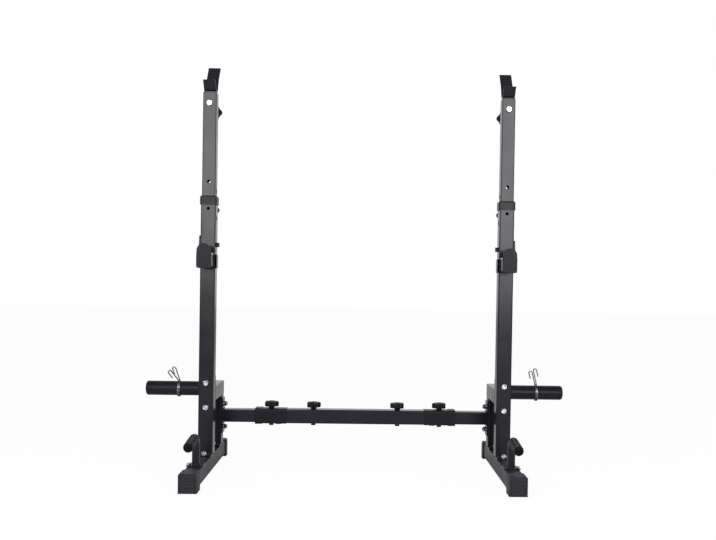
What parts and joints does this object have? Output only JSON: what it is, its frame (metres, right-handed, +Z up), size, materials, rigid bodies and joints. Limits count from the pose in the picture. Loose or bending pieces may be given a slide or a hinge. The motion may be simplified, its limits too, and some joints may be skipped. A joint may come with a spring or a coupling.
{
  "type": "squat stand",
  "caption": "Adjustable two-post squat stand with bar cradles, safety hooks, plate pegs with wire clips, push-up handles and a crossbar that telescopes.",
  "frame": {"origin": "middle of the stand on the floor, under the centre of its bounding box", "axes": "+X to the right hand of someone facing the front of the stand, +Y to the back, +Z up"},
  "size_m": [1.4086, 0.6716, 1.375],
  "materials": {
    "black_paint": "satin black powder coat",
    "moulded_plastic": "fine moulded texture, black",
    "foot_rubber": "matt black rubber",
    "grip_rubber": "matt black fluted rubber",
    "zinc_fastener": "bright zinc plate",
    "spring_wire": "bright plated wire"
  },
  "bodies": {
    "crossbar": {"crossbar_tube": "black_paint", "crossbar_sleeve_left": "moulded_plastic", "crossbar_sleeve_right": "moulded_plastic"},
    "tower_left": {"base_tube_left": "black_paint", "front_foot_left": "foot_rubber", "back_foot_left": "foot_rubber", "upright_left": "black_paint", "upright_collar_left": "moulded_plastic", "rear_brace_left": "black_paint", "brace_plug_left": "moulded_plastic", "brace_bolt_lower_left": "zinc_fastener", "brace_bolt_upper_left": "zinc_fastener", "flange_bolt_lower_left": "zinc_fastener", "flange_bolt_upper_left": "zinc_fastener", "foot_bolt_front_left": "zinc_fastener", "foot_bolt_back_left": "zinc_fastener", "peg_cap_left": "moulded_plastic", "push_up_handle_left": "black_paint", "handle_grip_left": "grip_rubber", "handle_bolt_left": "zinc_fastener", "crossbar_arm_left": "black_paint"},
    "height_post_left": {"height_tube_left": "black_paint", "bar_cradle_left": "black_paint", "cradle_bolt_left": "zinc_fastener"},
    "cradle_knob_left": {"cradle_knob_left": "moulded_plastic"},
    "height_knob_left": {"height_knob_left": "moulded_plastic"},
    "safety_hook_left": {"safety_hook_left": "black_paint", "hook_pin_left": "black_paint"},
    "spring_clip_left": {"spring_clip_left": "spring_wire"},
    "crossbar_knob_outer_left": {"crossbar_knob_outer_left": "moulded_plastic"},
    "crossbar_knob_inner_left": {"crossbar_knob_inner_left": "moulded_plastic"},
    "tower_right": {"base_tube_right": "black_paint", "front_foot_right": "foot_rubber", "back_foot_right": "foot_rubber", "upright_right": "black_paint", "upright_collar_right": "moulded_plastic", "rear_brace_right": "black_paint", "brace_plug_right": "moulded_plastic", "brace_bolt_lower_right": "zinc_fastener", "brace_bolt_upper_right": "zinc_fastener", "flange_bolt_lower_right": "zinc_fastener", "flange_bolt_upper_right": "zinc_fastener", "foot_bolt_front_right": "zinc_fastener", "foot_bolt_back_right": "zinc_fastener", "peg_cap_right": "moulded_plastic", "push_up_handle_right": "black_paint", "handle_grip_right": "grip_rubber", "handle_bolt_right": "zinc_fastener", "crossbar_arm_right": "black_paint"},
    "height_post_right": {"height_tube_right": "black_paint", "bar_cradle_right": "black_paint", "cradle_bolt_right": "zinc_fastener"},
    "cradle_knob_right": {"cradle_knob_right": "moulded_plastic"},
    "height_knob_right": {"height_knob_right": "moulded_plastic"},
    "safety_hook_right": {"safety_hook_right": "black_paint", "hook_pin_right": "black_paint"},
    "spring_clip_right": {"spring_clip_right": "spring_wire"},
    "crossbar_knob_outer_right": {"crossbar_knob_outer_right": "moulded_plastic"},
    "crossbar_knob_inner_right": {"crossbar_knob_inner_right": "moulded_plastic"}
  },
  "joints": [
    {"name": "width_slide_left", "type": "slide", "parent": "crossbar", "child": "tower_left", "axis": [-1, 0, 0], "range_m": [-0.055, 0.065]},
    {"name": "height_slide_left", "type": "slide", "parent": "tower_left", "child": "height_post_left", "axis": [0, 0, 1], "range_m": [0, 0.09]},
    {"name": "hook_swing_left", "type": "hinge", "parent": "tower_left", "child": "safety_hook_left", "pos_m": [-0.502, 0.0185, 0.765], "axis": [-1, 0, 0], "range_deg": [0, 70]},
    {"name": "height_knob_turn_left", "type": "hinge", "parent": "tower_left", "child": "height_knob_left", "pos_m": [-0.502, 0.0685, 0.886], "axis": [0, 1, 0], "range_deg": [0, 720]},
    {"name": "cradle_knob_turn_left", "type": "hinge", "parent": "height_post_left", "child": "cradle_knob_left", "pos_m": [-0.502, 0.1065, 1.226], "axis": [0, 1, 0], "range_deg": [0, 720]},
    {"name": "clip_slide_left", "type": "slide", "parent": "tower_left", "child": "spring_clip_left", "axis": [-1, 0, 0], "range_m": [-0.03, 0.125]},
    {"name": "crossbar_knob_turn_outer_left", "type": "hinge", "parent": "crossbar", "child": "crossbar_knob_outer_left", "pos_m": [-0.302, 0.2185, 0.19], "axis": [0, 0, 1], "range_deg": [0, 720]},
    {"name": "crossbar_knob_turn_inner_left", "type": "hinge", "parent": "crossbar", "child": "crossbar_knob_inner_left", "pos_m": [-0.151, 0.2185, 0.19], "axis": [0, 0, 1], "range_deg": [0, 720]},
    {"name": "width_slide_right", "type": "slide", "parent": "crossbar", "child": "tower_right", "axis": [1, 0, 0], "range_m": [-0.055, 0.065]},
    {"name": "height_slide_right", "type": "slide", "parent": "tower_right", "child": "height_post_right", "axis": [0, 0, 1], "range_m": [0, 0.09]},
    {"name": "hook_swing_right", "type": "hinge", "parent": "tower_right", "child": "safety_hook_right", "pos_m": [0.502, 0.0185, 0.765], "axis": [-1, 0, 0], "range_deg": [0, 70]},
    {"name": "height_knob_turn_right", "type": "hinge", "parent": "tower_right", "child": "height_knob_right", "pos_m": [0.502, 0.0685, 0.886], "axis": [0, 1, 0], "range_deg": [0, 720]},
    {"name": "cradle_knob_turn_right", "type": "hinge", "parent": "height_post_right", "child": "cradle_knob_right", "pos_m": [0.502, 0.1065, 1.226], "axis": [0, 1, 0], "range_deg": [0, 720]},
    {"name": "clip_slide_right", "type": "slide", "parent": "tower_right", "child": "spring_clip_right", "axis": [1, 0, 0], "range_m": [-0.05, 0.105]},
    {"name": "crossbar_knob_turn_outer_right", "type": "hinge", "parent": "crossbar", "child": "crossbar_knob_outer_right", "pos_m": [0.302, 0.2185, 0.19], "axis": [0, 0, 1], "range_deg": [0, 720]},
    {"name": "crossbar_knob_turn_inner_right", "type": "hinge", "parent": "crossbar", "child": "crossbar_knob_inner_right", "pos_m": [0.151, 0.2185, 0.19], "axis": [0, 0, 1], "range_deg": [0, 720]}
  ]
}
